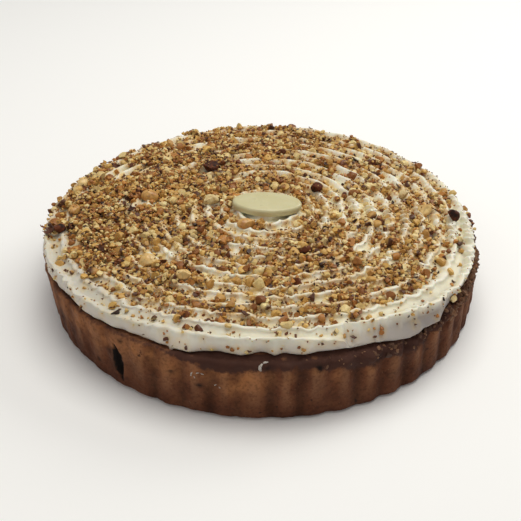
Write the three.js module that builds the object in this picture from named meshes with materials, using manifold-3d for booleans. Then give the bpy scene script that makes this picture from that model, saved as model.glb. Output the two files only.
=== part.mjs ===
// A round cream flan: a fluted pastry case, whipped cream piped on it in one spiral,
// a plain oval of white chocolate in the middle and chopped caramelised hazelnuts.
// Millimetres, +Z up. The origin is the middle of the flat underside, -Y is the front.

import * as THREE from "three";
import { mergeVertices } from "three/addons/utils/BufferGeometryUtils.js";
import Module from "manifold-3d";

// Pastry case
const rimRadius = 122.5; // to the crests of the flutes, at the top of the wall
const rimShift = -2; // the baked wall leans out to the left
const footRadius = 121;
const footOval = 1.5; // the foot reaches this much further at the front and back
const caseHeight = 34;
const rimRounding = 2.5; // height and depth of the rounded top edge of the wall
const footRounding = 2.5;
const ledgeWidth = 9; // from the wall's top edge in to where the flutes have died out
const fluteCount = 52;
const fluteDepth = 2.8; // at the top of the wall
const samplesPerFlute = 4;
const firstValley = radians(-88);
const brokenRim = { direction: radians(-56), spread: radians(20), drop: 5 };

// Piped cream
const creamTurns = 14;
const stepsPerTurn = 48;
const creamReach = 118.5; // radius of the last lip of the spiral, before its unevenness
const outlineWaves = [
  { lobes: 1, depth: 2.0, peak: radians(-48) },
  { lobes: 2, depth: 3.5, peak: radians(8) },
  { lobes: 3, depth: 3.4, peak: radians(-38) },
];
const strandEnd = radians(-69); // where the nozzle was lifted off
const tailSteps = 3; // steps over which the end of the strand sinks and thins
const tailHeight = 37;
const edgeLipHeight = 43;
const middleLipHeight = 48;
const valleyDepth = 2.6; // from a lip down to the terrace behind the next lip
const faceFoot = 1.6; // how far the foot of a strand's face stands out from its lip
const footShare = 0.85; // share of the drop to the terrace that the face takes
const hemReach = 2; // how far the outermost face stands out at its hem
const slump = { direction: radians(-52), spread: radians(16), reach: 7 };
const terraceAcross = 0.6; // share of the way to the next lip at which a terrace is lowest
const seatGap = 0.3; // between touching pieces

// Chocolate oval
const ovalLength = 39;
const ovalWidth = 22;
const ovalThickness = 4.6;
const ovalRounding = 1.5;
const ovalCentre = { x: 1.4, y: 0.8, top: 52.2 };
const ovalTurn = radians(-4);

// Hazelnut pieces as large as berries: size is length, width and height, and each lies
// "out" from the middle, "at" a direction in degrees, turned about its upright axis.
const nutSink = 0.3; // share of a nut's height that is pressed into the cream
const nutColours = { skin: 0x4f2d1d, caramel: 0xb07638, golden: 0xb98f4e, pale: 0xc6a872 };
const nutPieces = [
  { name: "nut_dark_skin", size: [11, 8, 7], out: 58, at: 125, turn: 20, colour: "skin" },
  { name: "nut_orange_half", size: [9, 7, 5], out: 67, at: 169, turn: -15, colour: "caramel", half: true },
  { name: "nut_golden_dome", size: [9, 8.5, 6], out: 80, at: -138, turn: 30, colour: "golden", half: true },
  { name: "nut_by_plaque", size: [9.5, 7, 6], out: 21, at: -118, turn: 10, colour: "caramel" },
  { name: "nut_pale_long", size: [10, 5.5, 5], out: 32, at: 169, turn: 5, colour: "pale" },
  { name: "nut_brown_right", size: [6.5, 6, 5.5], out: 37, at: 35, turn: 50, colour: "skin" },
  { name: "nut_dark_front", size: [7.5, 5.5, 5], out: 48, at: -63, turn: 15, colour: "skin" },
  { name: "nut_red_cube", size: [6, 6.5, 6], out: 106, at: -1, turn: 25, colour: "skin" },
  { name: "nut_gold_edge", size: [9, 6, 6], out: 111, at: 164, turn: 70, colour: "golden" },
  { name: "nut_orange_edge", size: [8.5, 6, 5], out: 107, at: 180, turn: 80, colour: "caramel" },
  { name: "nut_dark_edge", size: [6.5, 6, 5.5], out: 114, at: -169, turn: 40, colour: "skin" },
  { name: "nut_gold_right", size: [7, 6.5, 5], out: 91, at: 3, turn: 0, colour: "golden", half: true },
  { name: "nut_pale_right", size: [7, 6, 5.5], out: 83, at: 14, turn: 60, colour: "pale" },
  { name: "nut_gold_front", size: [7.5, 6.5, 5], out: 77, at: -122, turn: 35, colour: "golden" },
];

function radians(degrees) {
  return THREE.MathUtils.degToRad(degrees);
}

// 1 in the direction of a bump, fading to 0 over its spread
function bump({ direction, spread }, angle) {
  const away = Math.atan2(Math.sin(angle - direction), Math.cos(angle - direction));
  return Math.exp(-((away / spread) ** 2));
}

// Collects points and faces of a closed shell. Faces run anticlockwise seen from outside.
function startShell() {
  const positions = [];
  const indices = [];
  const point = (x, y, z) => positions.push(x, y, z) / 3 - 1;
  const polar = (radius, angle, z) => point(radius * Math.cos(angle), radius * Math.sin(angle), z);
  const triangle = (a, b, c) => indices.push(a, b, c);
  const quad = (a, b, c, d) => indices.push(a, b, c, a, c, d);
  // A flat polygon given as point numbers, and the same points in the polygon's own plane
  const polygon = (corners, flat) => {
    const outline = flat.map(([u, v]) => new THREE.Vector2(u, v));
    const winding = Math.sign(THREE.ShapeUtils.area(outline));
    THREE.ShapeUtils.triangulateShape(outline, []).forEach(([a, b, c]) => {
      const sameWay = THREE.ShapeUtils.area([outline[a], outline[b], outline[c]]) * winding > 0;
      triangle(corners[a], corners[sameWay ? b : c], corners[sameWay ? c : b]);
    });
  };
  const geometry = () => {
    const made = new THREE.BufferGeometry();
    made.setAttribute("position", new THREE.Float32BufferAttribute(positions, 3));
    made.setIndex(indices);
    return made;
  };
  return { point, polar, triangle, quad, polygon, geometry };
}

// ---- Pastry case ----

// Radius of the wall at a share of its height, between the flutes' crests
function wallRadius(angle, share) {
  const foot = footRadius - footOval * Math.cos(2 * angle);
  const rim = rimRadius + rimShift * Math.cos(angle);
  return THREE.MathUtils.lerp(foot, rim, share);
}

// 0 on a flute's rounded crest, 1 in the narrow valley between two flutes
function fluteValley(angle) {
  return 1 - Math.abs(Math.sin((fluteCount * (angle - firstValley)) / 2));
}

// Rings of the case from the underside up to the inner edge of the ledge. flute is the
// share of the full flute depth, inset is measured in from the wall.
function caseRings() {
  return [
    { z: 0, inset: footRounding, flute: 0.5, sag: 0 },
    { z: footRounding, inset: 0, flute: 0.75, sag: 0 },
    { z: caseHeight / 2, inset: 0, flute: 0.9, sag: 0.4 },
    { z: caseHeight - rimRounding, inset: 0, flute: 1, sag: 1 },
    { z: caseHeight - 0.4, inset: rimRounding, flute: 0.8, sag: 1 },
    { z: caseHeight, inset: ledgeWidth, flute: 0, sag: 0 },
  ];
}

function caseGeometry() {
  const shell = startShell();
  const count = fluteCount * samplesPerFlute;
  const rings = caseRings().map(({ z, inset, flute, sag }) =>
    Array.from({ length: count }, (_, i) => {
      const angle = firstValley + (i * 2 * Math.PI) / count;
      const depth = flute * fluteDepth * fluteValley(angle);
      const height = z - sag * brokenRim.drop * bump(brokenRim, angle);
      return shell.polar(wallRadius(angle, z / caseHeight) - inset - depth, angle, height);
    }),
  );
  const under = shell.point(0, 0, 0);
  const top = shell.point(0, 0, caseHeight);
  const last = rings.length - 1;
  for (let i = 0; i < count; i++) {
    const next = (i + 1) % count;
    shell.triangle(under, rings[0][next], rings[0][i]);
    for (let ring = 0; ring < last; ring++) {
      const [low, high] = [rings[ring], rings[ring + 1]];
      shell.quad(low[i], low[next], high[next], high[i]);
    }
    shell.triangle(top, rings[last][i], rings[last][next]);
  }
  return shell.geometry();
}

// ---- Piped cream ----

const lastStep = creamTurns * stepsPerTurn;
const lastTurnStart = lastStep - stepsPerTurn;

function stepAngle(step) {
  return strandEnd + ((step - lastStep) * 2 * Math.PI) / stepsPerTurn;
}

// How far the uneven outline stands out from a circle
function outlineWave(angle) {
  return outlineWaves.reduce(
    (sum, { lobes, depth, peak }) => sum + depth * Math.cos(lobes * (angle - peak)),
    0,
  );
}

function domeHeight(radius) {
  const share = Math.min(1, radius / creamReach);
  return THREE.MathUtils.lerp(middleLipHeight, edgeLipHeight, share ** 2);
}

// The lip of the strand: its upper outer edge, which winds out from the middle
function lipAt(step) {
  const share = step / lastStep;
  const radius = share * (creamReach + share * outlineWave(stepAngle(step)));
  const tail = Math.min(1, (lastStep - step) / tailSteps);
  return { radius, z: THREE.MathUtils.lerp(tailHeight, domeHeight(radius), tail) };
}

function hemRadius(step) {
  const startsAt = Math.min(1, (step - lastTurnStart) / 2); // none at the end wall of the strand
  return lipAt(step).radius + hemReach + startsAt * slump.reach * bump(slump, stepAngle(step));
}

function creamGeometry() {
  const shell = startShell();
  const underside = caseHeight + seatGap;
  const columns = [];
  for (let step = 0; step <= lastStep; step++) {
    const angle = stepAngle(step);
    const place = (radius, z) => ({ number: shell.polar(radius, angle, z), flat: [radius, z] });
    const lip = lipAt(step);
    const column = { angle, lip: place(lip.radius, lip.z) };
    if (step <= lastTurnStart) {
      const outer = lipAt(step + stepsPerTurn);
      const footRadius = lip.radius + faceFoot;
      const between = THREE.MathUtils.lerp(footRadius, outer.radius, terraceAcross);
      const level = THREE.MathUtils.lerp(lip.z, outer.z, terraceAcross) - valleyDepth;
      column.foot = place(footRadius, THREE.MathUtils.lerp(lip.z, level, footShare));
      column.terrace = place(between, level);
    }
    if (step >= lastTurnStart) column.hem = place(hemRadius(step), underside);
    columns.push(column);
  }
  const band = (a, b, c, d) => shell.quad(a.number, b.number, c.number, d.number);
  const flatFace = (corners) => {
    shell.polygon(corners.map((corner) => corner.number), corners.map((corner) => corner.flat));
  };

  // Faces and terraces between one turn and the next
  for (let step = 0; step < lastTurnStart; step++) {
    const [here, next] = [columns[step], columns[step + 1]];
    const [outer, outerNext] = [columns[step + stepsPerTurn], columns[step + stepsPerTurn + 1]];
    band(here.lip, here.foot, next.foot, next.lip);
    band(here.foot, here.terrace, next.terrace, next.foot);
    band(here.terrace, outer.lip, outerNext.lip, next.terrace);
  }
  // The middle, inside the first turn, with the end of the strand that starts it
  const middle = columns[0];
  for (let step = 1; step < stepsPerTurn; step++) {
    shell.triangle(middle.lip.number, columns[step].lip.number, columns[step + 1].lip.number);
  }
  flatFace([middle.lip, columns[stepsPerTurn].lip, middle.terrace, middle.foot]);

  // The outermost face, and the end wall where the strand stops
  for (let step = lastTurnStart; step < lastStep; step++) {
    const [here, next] = [columns[step], columns[step + 1]];
    band(here.lip, here.hem, next.hem, next.lip);
  }
  const [start, end] = [columns[lastTurnStart], columns[lastStep]];
  flatFace([start.hem, start.lip, start.foot, start.terrace, end.lip, end.hem]);

  // The flat underside
  const outermost = columns.slice(lastTurnStart).reverse();
  const inPlan = ({ angle, hem }) => [hem.flat[0] * Math.cos(angle), hem.flat[0] * Math.sin(angle)];
  shell.polygon(outermost.map((column) => column.hem.number), outermost.map(inPlan));
  return shell.geometry();
}

// ---- Chocolate oval and nuts ----

function ovalGeometry() {
  const outline = new THREE.Shape();
  const halfLength = ovalLength / 2 - ovalRounding;
  const halfWidth = ovalWidth / 2 - ovalRounding;
  outline.absellipse(0, 0, halfLength, halfWidth, 0, 2 * Math.PI);
  const made = new THREE.ExtrudeGeometry(outline, {
    depth: ovalThickness - 2 * ovalRounding,
    curveSegments: 14,
    bevelThickness: ovalRounding,
    bevelSize: ovalRounding,
    bevelSegments: 3,
  });
  return made.center();
}

// A chopped hazelnut, knobbly all over, each variant in its own way. A half has a flat
// face below. It is made about 1 across and then fitted to its size.
function nutGeometry(variant, half, size) {
  const made = new THREE.IcosahedronGeometry(0.5, 1);
  const positions = made.attributes.position;
  const corner = new THREE.Vector3();
  for (let i = 0; i < positions.count; i++) {
    corner.fromBufferAttribute(positions, i);
    const wave = Math.sin(7 * corner.x + variant) + Math.sin(9 * corner.y + 2 * variant);
    corner.multiplyScalar(1 + 0.06 * (wave + Math.sin(8 * corner.z + 3 * variant)));
    if (half) corner.z = Math.max(corner.z, -0.12);
    positions.setXYZ(i, corner.x, corner.y, corner.z);
  }
  return resize(made.center(), size);
}

function sizeOf(geometry) {
  const box = new THREE.Box3().setFromBufferAttribute(geometry.attributes.position);
  return box.getSize(new THREE.Vector3()).toArray();
}

// Stretches a centred shape to an outer size along X, Y and Z
function resize(geometry, size) {
  const now = sizeOf(geometry);
  return geometry.scale(size[0] / now[0], size[1] / now[1], size[2] / now[2]);
}

function nutMesh(piece, index) {
  const height = piece.size[2];
  const colour = nutColours[piece.colour];
  const material = new THREE.MeshStandardMaterial({ color: colour, roughness: 0.6 });
  const mesh = new THREE.Mesh(nutGeometry(index + 1, piece.half, piece.size), material);
  mesh.name = piece.name;
  const surface = domeHeight(piece.out) - valleyDepth / 2;
  const direction = radians(piece.at);
  mesh.position.x = piece.out * Math.cos(direction);
  mesh.position.y = piece.out * Math.sin(direction);
  mesh.position.z = surface + height * (0.5 - nutSink);
  mesh.rotation.z = radians(piece.turn);
  return mesh;
}

// ---- Seats: the cream closes round whatever is pressed into it ----

const wasm = await Module();
wasm.setup();

function toSolid(geometry) {
  const bare = geometry.clone();
  bare.deleteAttribute("normal");
  bare.deleteAttribute("uv");
  const merged = mergeVertices(bare, 1e-4);
  return new wasm.Manifold(
    new wasm.Mesh({
      numProp: 3,
      vertProperties: new Float32Array(merged.attributes.position.array),
      triVerts: new Uint32Array(merged.index.array),
    }),
  );
}

function toGeometry(solid) {
  const { vertProperties, triVerts } = solid.getMesh();
  const made = new THREE.BufferGeometry();
  made.setAttribute("position", new THREE.BufferAttribute(new Float32Array(vertProperties), 3));
  made.setIndex(new THREE.BufferAttribute(new Uint32Array(triVerts), 1));
  made.computeVertexNormals();
  return made;
}

// A piece's own shape where it lies, larger by the gap on every side
function seatFor(mesh) {
  const grown = mesh.geometry.clone();
  resize(grown, sizeOf(grown).map((side) => side + 2 * seatGap));
  mesh.updateMatrixWorld(true);
  return toSolid(grown.applyMatrix4(mesh.matrixWorld));
}

// ---- The flan ----

const pastryMaterial = new THREE.MeshStandardMaterial({ color: 0x6b4429, roughness: 0.8 });
const creamMaterial = new THREE.MeshStandardMaterial({ color: 0xe9e3cf, roughness: 0.5 });
const chocolateMaterial = new THREE.MeshStandardMaterial({ color: 0xd8cda0, roughness: 0.35 });

const pastryCase = new THREE.Mesh(caseGeometry(), pastryMaterial);
pastryCase.name = "flan_case";

const plaque = new THREE.Mesh(ovalGeometry(), chocolateMaterial);
plaque.name = "chocolate_plaque";
plaque.position.set(ovalCentre.x, ovalCentre.y, ovalCentre.top - ovalThickness / 2);
plaque.rotation.z = ovalTurn;

const nuts = nutPieces.map(nutMesh);

const creamSolid = [plaque, ...nuts].reduce(
  (solid, mesh) => solid.subtract(seatFor(mesh)),
  toSolid(creamGeometry()),
);
const cream = new THREE.Mesh(toGeometry(creamSolid), creamMaterial);
cream.name = "cream_spiral";

const toppings = new THREE.Group();
toppings.add(plaque, ...nuts);

const flan = new THREE.Group();
flan.add(pastryCase, cream, toppings);

export default flan;
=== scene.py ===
import bmesh
import bpy
import numpy as np
from math import atan2, cos, hypot, pi, radians, sin
from mathutils import Matrix, Vector
from mathutils.kdtree import KDTree


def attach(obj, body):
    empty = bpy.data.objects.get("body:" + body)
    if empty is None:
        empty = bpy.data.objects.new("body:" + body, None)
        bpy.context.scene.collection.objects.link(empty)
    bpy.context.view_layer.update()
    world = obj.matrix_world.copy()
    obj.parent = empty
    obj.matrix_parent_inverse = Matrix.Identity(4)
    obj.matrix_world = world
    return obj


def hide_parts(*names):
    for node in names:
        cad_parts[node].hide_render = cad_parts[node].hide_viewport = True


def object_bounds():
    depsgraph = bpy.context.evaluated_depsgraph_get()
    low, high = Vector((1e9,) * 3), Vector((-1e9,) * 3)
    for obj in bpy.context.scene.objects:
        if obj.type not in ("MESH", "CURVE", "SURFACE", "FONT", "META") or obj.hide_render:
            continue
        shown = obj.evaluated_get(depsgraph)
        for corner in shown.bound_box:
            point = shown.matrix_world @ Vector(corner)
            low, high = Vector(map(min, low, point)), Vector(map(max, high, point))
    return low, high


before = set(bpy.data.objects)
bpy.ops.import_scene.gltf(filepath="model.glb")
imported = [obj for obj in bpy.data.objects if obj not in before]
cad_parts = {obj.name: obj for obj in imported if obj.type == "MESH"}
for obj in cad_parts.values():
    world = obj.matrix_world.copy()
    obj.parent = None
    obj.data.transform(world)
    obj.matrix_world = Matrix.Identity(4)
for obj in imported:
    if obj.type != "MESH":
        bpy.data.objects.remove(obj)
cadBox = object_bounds()
mm = 0.001  # lengths below are in millimetres, Blender's are in metres
print("frame loaded")


def objectMode():
    if bpy.context.object and bpy.context.object.mode != "OBJECT":
        bpy.ops.object.mode_set(mode="OBJECT")


def selectOnly(*pieces):
    objectMode()
    bpy.ops.object.select_all(action="DESELECT")
    for piece in pieces:
        piece.select_set(True)
    if pieces:
        bpy.context.view_layer.objects.active = pieces[0]


def markAll(action="SELECT"):
    bpy.ops.mesh.select_all(action=action)


def markOnly(piece, parts):
    markAll("DESELECT")
    for part in parts:
        part.select_set(True)
    bmesh.update_edit_mesh(piece.data)


def editAll(piece):
    selectOnly(piece)
    bpy.ops.object.mode_set(mode="EDIT")
    markAll()


def readPoints(piece):
    points = np.empty(len(piece.data.vertices) * 3)
    piece.data.vertices.foreach_get("co", points)
    return points.reshape(-1, 3) / mm


def writePoints(piece, points):
    piece.data.vertices.foreach_set("co", (points * mm).ravel())
    piece.data.update()


def paint(piece, name, values):  # a number for each point, which the material reads
    layer = piece.data.attributes.new(name, "FLOAT", "POINT")
    layer.data.foreach_set("value", np.asarray(values, np.float32))


def weld(piece, distance=0.01):
    editAll(piece)
    bpy.ops.mesh.remove_doubles(threshold=distance * mm)
    markAll()
    bpy.ops.mesh.normals_make_consistent(inside=False)
    objectMode()


def applyModifier(piece, kind, **settings):
    selectOnly(piece)
    modifier = piece.modifiers.new(kind.title(), kind)
    for name, value in settings.items():
        setattr(modifier, name, value)
    bpy.ops.object.modifier_apply(modifier=modifier.name)


# Edges that turn by less than smooth degrees are shaded round
def finishPiece(piece, name, look, nodes=(), smooth=180):
    selectOnly(piece)
    bpy.ops.object.transform_apply(location=True, rotation=True, scale=True)
    bpy.ops.object.shade_smooth_by_angle(angle=radians(smooth))
    piece.name = piece.data.name = name
    piece.data.materials.clear()
    piece.data.materials.append(look.material)
    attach(piece, "root")
    if nodes:
        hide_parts(*nodes)
    piece.data.calc_loop_triangles()
    print(name, len(piece.data.loop_triangles), "triangles")


def unit(values):
    return np.clip(values, 0, 1)


scramble = (73856093, 19349663, 83492791, 7919, 1274126177, 668265263)  # primes that mix up the cells
highest = 0x7FFFFFFF


# Smooth bumps from -1 to 1, about size millimetres across, the same on every run
def bumps(points, size, seed):
    scaled = np.asarray(points, float) / size + 4096.5
    cell = np.floor(scaled).astype(np.int64)
    part = scaled - cell
    part = part * part * (3 - 2 * part)
    total = np.zeros(len(scaled))
    for corner in np.ndindex(2, 2, 2):
        at = cell + corner
        mixed = seed * scramble[3]
        for axis in range(3):
            mixed = mixed ^ at[:, axis] * scramble[axis]
        mixed = (mixed ^ (mixed >> 13)) * scramble[4] & highest
        mixed = (mixed ^ (mixed >> 15)) * scramble[5] & highest
        total += (mixed / (highest // 2) - 1) * np.prod(np.where(corner, part, 1 - part), axis=1)
    return total


def layers(points, rows):  # bumps of more than one size: height, size and seed of each
    return sum(height * bumps(points, size, seed) for height, size, seed in rows)


# 1 in a direction, fading to 0 over its spread, both in degrees
def towards(angle, direction, spread):
    away = np.arctan2(np.sin(angle - radians(direction)), np.cos(angle - radians(direction)))
    return np.exp(-((away / radians(spread)) ** 2))


def fading(angle, place):  # the same with an amount: direction, spread, amount
    direction, spread, amount = place
    return amount * towards(angle, direction, spread)


def polar(radius, angle, z):
    return np.stack([radius * np.cos(angle), radius * np.sin(angle), z], axis=-1)


def outwardAt(angle):
    return Vector((cos(angle), sin(angle), 0))


# A material, with a short way to add each kind of node that it needs
class Look:
    def __init__(self, name, **shader):
        self.material = bpy.data.materials.new(name)
        self.material.use_nodes = True
        self.tree = self.material.node_tree
        self.shader = self.tree.nodes["Principled BSDF"]
        for socket, value in shader.items():
            self.shader.inputs[socket.replace("_", " ")].default_value = value

    def add(self, kind, settings=None, **inputs):  # i0, i1 and so on are inputs by number
        node = self.tree.nodes.new("ShaderNode" + kind)
        for name, value in (settings or {}).items():
            setattr(node, name, value)
        for name, value in inputs.items():
            socket = node.inputs[int(name[1:]) if name[1:].isdigit() else name]
            if isinstance(value, bpy.types.NodeSocket):
                self.tree.links.new(value, socket)
            else:
                socket.default_value = value
        return node

    def noise(self, scale, detail=3.0, rough=0.55, stretch=(1, 1, 1), offset=0.0):
        place = self.add("TexCoord").outputs["Object"]
        moved = self.add("Mapping", Vector=place, Scale=stretch, Location=(offset, offset, 0)).outputs[0]
        return self.add("TexNoise", Vector=moved, Scale=scale, Detail=detail, Roughness=rough).outputs["Fac"]

    def ramp(self, source, *stops):  # each stop is a place and a colour
        node = self.add("ValToRGB", Fac=source)
        elements = node.color_ramp.elements
        while len(elements) < len(stops):
            elements.new(0.5)
        for element, (place, colour) in zip(elements, stops):
            element.position = place
            element.color = (*colour, 1)
        return node.outputs["Color"]

    def mix(self, factor, first, second, blend="MIX"):
        first, second = [(*each, 1) if isinstance(each, tuple) else each for each in (first, second)]
        settings = {"data_type": "RGBA", "blend_type": blend}
        return self.add("Mix", settings, i0=factor, i6=first, i7=second).outputs[2]

    def times(self, first, second, operation="MULTIPLY"):
        return self.add("Math", {"operation": operation}, i0=first, i1=second).outputs[0]

    def span(self, source, low, high, toLow=0.0, toHigh=1.0):  # from one range of values to another
        return self.add("MapRange", i0=source, i1=low, i2=high, i3=toLow, i4=toHigh).outputs[0]

    def painted(self, name, output="Fac"):
        return self.add("Attribute", {"attribute_name": name}).outputs[output]

    def bump(self, height, strength, distance, normal=None):
        below = {"Normal": normal} if normal else {}
        return self.add("Bump", Height=height, Strength=strength, Distance=distance, **below).outputs[0]

    def connect(self, colour, rough, normal):
        for name, source in (("Base Color", colour), ("Roughness", rough), ("Normal", normal)):
            self.tree.links.new(source, self.shader.inputs[name])
        return self


view = {"place": (0, -484.4, 332.9), "target": (-1.787, 0, 12.245), "roll": 0.014, "lens": 69.0}

bpy.ops.object.camera_add()
camera = bpy.context.object
camera.data.lens = view["lens"]
camera.data.sensor_width = 36
camera.data.clip_start = 0.01
forward = (Vector(view["target"]) - Vector(view["place"])).normalized()
right = forward.cross(Vector((0, 0, 1))).normalized()
up = right.cross(forward)
rolledRight = right * cos(view["roll"]) + up * sin(view["roll"])
rolledUp = up * cos(view["roll"]) - right * sin(view["roll"])
turned = Matrix((rolledRight, rolledUp, -forward)).transposed().to_4x4()
camera.matrix_world = Matrix.Translation(Vector(view["place"]) * mm) @ turned
bpy.context.scene.camera = camera

lights = {
    "overhead": {"place": (0.1, 0.15, 1.1), "size": 0.8, "power": 7.6, "tint": (1, 0.985, 0.92)},
    "leftBack": {"place": (-0.95, 0.15, 0.55), "size": 0.7, "power": 0.4, "tint": (1, 0.97, 0.93)},
    "rightBack": {"place": (0.8, 0.7, 0.75), "size": 0.6, "power": 5.0, "tint": (1, 0.985, 0.93)},
    "front": {"place": (-0.5, -1.15, 0.75), "size": 0.9, "power": 2.3, "tint": (1, 0.91, 0.82)},
}
for name, light in lights.items():
    bpy.ops.object.light_add(type="AREA", location=light["place"])
    lamp = bpy.context.object
    lamp.name = name
    lamp.data.size = light["size"]
    lamp.data.energy = light["power"]
    lamp.data.color = light["tint"]
    aim = Vector((0, 0, 0.03)) - Vector(light["place"])
    lamp.rotation_euler = aim.to_track_quat("-Z", "Y").to_euler()

world = bpy.data.worlds.new("studio")
bpy.context.scene.world = world
world.use_nodes = True
world.node_tree.nodes["Background"].inputs["Color"].default_value = (1, 0.99, 0.98, 1)
world.node_tree.nodes["Background"].inputs["Strength"].default_value = 0.27
bpy.context.scene.view_settings.view_transform = "Standard"

selectOnly()
bpy.ops.mesh.primitive_plane_add(size=6, location=(0, 0, -0.0003))
floor = bpy.context.object
floor.name = "floor"
floor.data.materials.append(Look("paleFloor", Base_Color=(0.97, 0.97, 0.97, 1), Roughness=0.8).material)
print("camera, light and floor ready")


case = {
    "drawnRadius": 121, "footRadius": 121, "footOval": 1.5, "rimRadius": 122.5, "rimShift": -2, "height": 34,
    "flutes": 52, "fluteDepth": 2.8, "firstValley": -88, "columnsPerFlute": 20,
    "degree": 2.12,  # how long a degree is along the wall
    "shallow": (-98, 9, 0.5),  # direction, spread, share of the flutes that is lost
    # bumps in the dough: height, size, seed
    "pressed": [(0.45, 22, 5), (0.28, 7, 6)], "crumb": [(0.26, 2.8, 7), (0.16, 1.6, 8)],
    "lumps": [(2.2, 4.2, 9), (1.2, 2.1, 16)], "uneven": [(2.0, 4.5, 15), (1.6, 2.2, 17)],
    "brokenRim": (-54, 19, 5),  # direction, spread, drop
    "crumbly": (-36, 27, 2.6),  # direction, spread, roughness
    "smoothSide": (-148, 30, 0.8),  # direction, spread, share of the flutes that is lost
    "crack": {"direction": -125.7, "lean": 0.13, "low": 4.5, "high": 27.5, "width": 2.5, "depth": 3.2},
    # lowest level of the dark band under the cream, browned crust with painted shade from the cream:
    # directions and levels
    "ledge": ([-126, -112, -105, -100, -96, -92, -86, -79, -74, -70, -67, -62, -54, -48, -43, -38, -28],
              [37, 34, 31.5, 29.5, 29, 31, 31.3, 31.5, 30, 27, 28, 27.5, 26, 26.5, 28.5, 32, 36]),
    # golden patches, the narrow ones at the front painted highlights on flute crests: direction, level, half
    # width, half height, strength
    "golden": [(-149, 27, 19, 8, 0.5), (-133, 27, 16, 7, 0.8), (-119, 28, 15, 6, 1.0),
               (-111, 25, 7, 6, 0.4), (-96, 23.5, 12, 6.5, 1.6), (-104, 26, 5, 5, 0.5),
               (-83.5, 27.5, 3, 3.5, 0.7), (-78, 28.5, 3, 3, 0.7), (-72.5, 25, 2.5, 5, 0.5),
               (-64, 24, 3, 5, 0.5), (-57, 21, 3, 5, 0.35)],
    # linear colours: first the dough's own, then what is laid over it, painted shade and highlights among it
    "dough": [(0.3, (0.076, 0.0245, 0.012)), (0.5, (0.14, 0.048, 0.022)), (0.72, (0.225, 0.088, 0.039))],
    "foot": (0.52, 0.5, 0.56), "valley": (0.42, 0.42, 0.42), "crest": (0.31, 0.15, 0.076),
    "baked": (0.39, 0.16, 0.058), "fleck": (0.34, 0.2, 0.11), "speck": (0.02, 0.011, 0.008),
    "browningAndShade": (0.053, 0.022, 0.016), "burntAndShade": (0.009, 0.006, 0.005),
    # dark pits, burnt, and by the cream dab at -88.6 a painted shadow under a crumb: direction, level, size
    "darkPits": [(-110.6, 23.6, 1.8), (-104.3, 18.5, 2.0), (-133, 9.9, 1.5), (-124.6, 30.6, 1.3),
                 (-129, 20, 1.5), (-88.6, 31.6, 1.5), (-77, 31, 2.2), (-62, 29, 2.5), (-47, 27, 2.4)],
}


# A line of points drawn in the XZ plane, each extruded from the last
def drawSection(corners):
    selectOnly()
    bpy.ops.mesh.primitive_plane_add(size=mm)
    bpy.ops.object.mode_set(mode="EDIT")
    markAll()
    bpy.ops.mesh.merge(type="CENTER")
    bpy.ops.transform.translate(value=(corners[0][0] * mm, 0, corners[0][1] * mm))
    for (fromX, fromZ), (toX, toZ) in zip(corners, corners[1:]):
        move = ((toX - fromX) * mm, 0, (toZ - fromZ) * mm)
        bpy.ops.mesh.extrude_region_move(TRANSFORM_OT_translate={"value": move})
    return bpy.context.object


def alongWall(angle, direction):
    return (np.degrees(angle) - direction) * case["degree"]


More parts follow.
